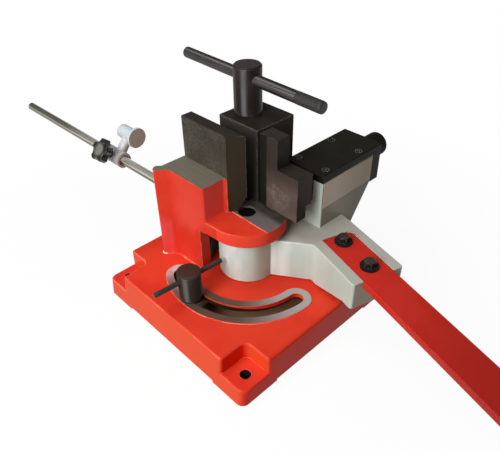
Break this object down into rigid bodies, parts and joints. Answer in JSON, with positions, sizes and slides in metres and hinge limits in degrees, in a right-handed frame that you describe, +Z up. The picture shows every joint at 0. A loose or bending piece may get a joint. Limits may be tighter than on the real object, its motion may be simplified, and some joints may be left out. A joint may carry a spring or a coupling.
{
  "type": "manual bending machine",
  "caption": "Bench-mounted manual bender for flat bar: a lever arm with an adjustable jaw swings round the nose of a fixed jaw plate, with angle and length stops.",
  "frame": {"origin": "where the pivot axis of the bending arm meets the bench, at the centre of the square base", "axes": "+X along the workpiece towards the lever side, +Y away from the operator, +Z up along the pivot"},
  "size_m": [1.1955, 0.3879, 0.3112],
  "materials": {
    "red_paint": "glossy orange-red paint, bare machined seats",
    "lever_paint": "glossy orange-red paint",
    "grey_paint": "light grey hammered paint",
    "blackened_steel": "black oxide, satin",
    "black_plate": "black oxide, satin",
    "black_fasteners": "black oxide",
    "bright_steel": "bright drawn steel",
    "bronze": "bearing bronze",
    "white_paint": "satin white paint",
    "black_plastic": "moulded black plastic"
  },
  "bodies": {
    "frame": {"base_casting": "red_paint", "fixed_jaw_plate": "blackened_steel", "fixed_jaw_screws": "black_fasteners", "pivot_pin": "bright_steel", "pivot_washer": "black_fasteners", "pivot_nut": "black_fasteners", "thrust_washer": "bright_steel"},
    "clamp_block": {"clamp_block": "blackened_steel"},
    "spindle_lift": {"spindle_washer": "blackened_steel"},
    "spindle": {"clamp_spindle": "blackened_steel", "tee_bar": "blackened_steel"},
    "swing_arm": {"arm_casting": "grey_paint", "lower_bush": "bronze", "upper_bush": "bronze", "lever_bar": "lever_paint", "lever_washers": "black_fasteners", "lever_bolts": "black_fasteners", "slide_cover": "black_plate", "cover_screws": "black_fasteners", "rear_plate": "black_plate", "rear_plate_screws": "black_fasteners"},
    "jaw_slide": {"bending_jaw": "blackened_steel"},
    "adjuster": {"adjusting_screw": "bright_steel", "screw_collar": "bright_steel", "adjusting_knob": "black_plate", "knob_set_screw": "black_fasteners"},
    "angle_stop": {"stop_tee_bolt": "bright_steel", "stop_washer": "black_fasteners"},
    "stop_nut": {"stop_nut": "blackened_steel", "stop_tommy_bar": "blackened_steel"},
    "stop_rod": {"stop_rod": "bright_steel", "rod_lock_nut": "black_fasteners"},
    "length_stop": {"stop_holder": "white_paint", "stop_button": "white_paint"},
    "star_knob": {"star_knob": "black_plastic", "star_knob_stud": "bright_steel"}
  },
  "joints": [
    {"name": "arm_swing", "type": "hinge", "parent": "frame", "child": "swing_arm", "pos_m": [0, 0, 0.085], "axis": [0, 0, -1], "range_deg": [0, 90]},
    {"name": "jaw_feed", "type": "slide", "parent": "swing_arm", "child": "jaw_slide", "axis": [0, -1, 0], "range_m": [0, 0.02]},
    {"name": "knob_turn", "type": "hinge", "parent": "swing_arm", "child": "adjuster", "pos_m": [0.036, 0.2, 0.166], "axis": [0, 1, 0], "range_deg": [0, 1800]},
    {"name": "block_slide", "type": "slide", "parent": "frame", "child": "clamp_block", "axis": [0, -1, 0], "range_m": [0, 0.02]},
    {"name": "spindle_lift", "type": "slide", "parent": "clamp_block", "child": "spindle_lift", "axis": [0, 0, 1], "range_m": [0, 0.006]},
    {"name": "spindle_turn", "type": "hinge", "parent": "spindle_lift", "child": "spindle", "pos_m": [-0.053, 0.0554, 0.28], "axis": [0, 0, 1], "range_deg": [0, 720]},
    {"name": "stop_swing", "type": "hinge", "parent": "frame", "child": "angle_stop", "pos_m": [0, 0, 0.05], "axis": [0, 0, 1], "range_deg": [-16, 0]},
    {"name": "stop_nut_turn", "type": "hinge", "parent": "angle_stop", "child": "stop_nut", "pos_m": [-0.00455, -0.1001, 0.07], "axis": [0, 0, 1], "range_deg": [0, 12]},
    {"name": "rod_turn", "type": "hinge", "parent": "frame", "child": "stop_rod", "pos_m": [-0.104, -0.036, 0.14], "axis": [-0.9996, -0.0286, 0], "range_deg": [-40, 45]},
    {"name": "stop_slide", "type": "slide", "parent": "stop_rod", "child": "length_stop", "axis": [-0.9996, -0.0286, 0], "range_m": [-0.09, 0.23]},
    {"name": "star_knob_turn", "type": "hinge", "parent": "length_stop", "child": "star_knob", "pos_m": [-0.25094, -0.04021, 0.14], "axis": [0.0221, -0.7713, 0.6361], "range_deg": [0, 180]}
  ],
  "couplings": [
    {"joint": "knob_turn", "follows": "jaw_feed", "rad_per_m": 1570.8},
    {"joint": "spindle_lift", "follows": "spindle_turn", "m_per_rad": 0.0004774}
  ]
}
